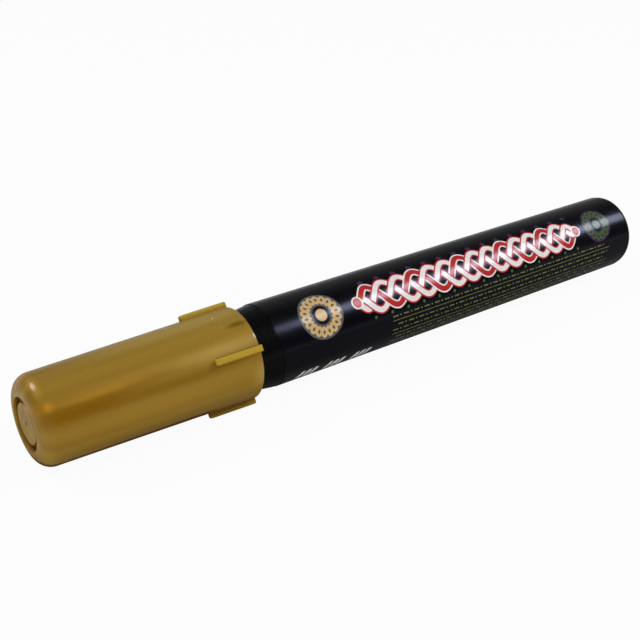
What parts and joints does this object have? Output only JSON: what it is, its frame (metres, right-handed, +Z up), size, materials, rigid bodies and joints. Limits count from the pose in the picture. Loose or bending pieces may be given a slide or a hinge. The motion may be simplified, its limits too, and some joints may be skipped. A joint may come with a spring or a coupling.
{
  "type": "liquid chalk marker",
  "caption": "Liquid chalk marker with a black labelled barrel and a ribbed gold pull-off cap; under the cap a chisel nib works a sprung ink valve when pressed.",
  "frame": {"origin": "under the middle of the marker's length, on the table that it lies on", "axes": "+X along the marker from the cap's closed end to the barrel's tail, +Z up"},
  "size_m": [0.1386, 0.0174, 0.0173],
  "materials": {
    "barrel_plastic": "smooth moulded polypropylene, satin on the cone",
    "label_film": "glossy printed plastic film",
    "cap_plastic": "gold pearl moulded polypropylene",
    "liner_plastic": "natural polyethylene",
    "nose_plastic": "moulded polypropylene",
    "gasket_rubber": "soft ring",
    "nib_fibre": "bonded fibre, stained with gold ink",
    "valve_plastic": "natural polyacetal",
    "stem_plastic": "natural polyacetal",
    "seal_rubber": "soft washer",
    "spring_steel": "stainless wire",
    "retainer_plastic": "natural polyacetal",
    "ball_steel": "polished stainless ball"
  },
  "bodies": {
    "barrel": {"barrel": "barrel_plastic", "label_film": "label_film", "nose_holder": "nose_plastic", "mouth_gasket": "gasket_rubber", "valve_housing": "valve_plastic", "spring_retainer": "retainer_plastic", "valve_spring": "spring_steel"},
    "cap": {"cap_shell": "cap_plastic", "cap_liner": "liner_plastic"},
    "nib": {"nib": "nib_fibre"},
    "valve_stem": {"valve_stem": "stem_plastic", "valve_seal": "seal_rubber"},
    "mixing_ball": {"mixing_ball": "ball_steel"}
  },
  "joints": [
    {"name": "cap_pull", "type": "slide", "parent": "barrel", "child": "cap", "axis": [-1, 0, 0], "range_m": [0, 0.06]},
    {"name": "nib_press", "type": "slide", "parent": "barrel", "child": "nib", "axis": [1, 0, 0], "range_m": [0, 0.0025], "stiffness_N_per_m": 400, "springref_m": -0.002},
    {"name": "valve_open", "type": "slide", "parent": "barrel", "child": "valve_stem", "axis": [1, 0, 0], "range_m": [0, 0.0025], "deforming": ["valve_spring"]},
    {"name": "ball_rattle", "type": "slide", "parent": "barrel", "child": "mixing_ball", "axis": [1, 0, 0], "range_m": [-0.0833, 0]}
  ],
  "couplings": [
    {"joint": "valve_open", "follows": "nib_press", "ratio": 1}
  ]
}
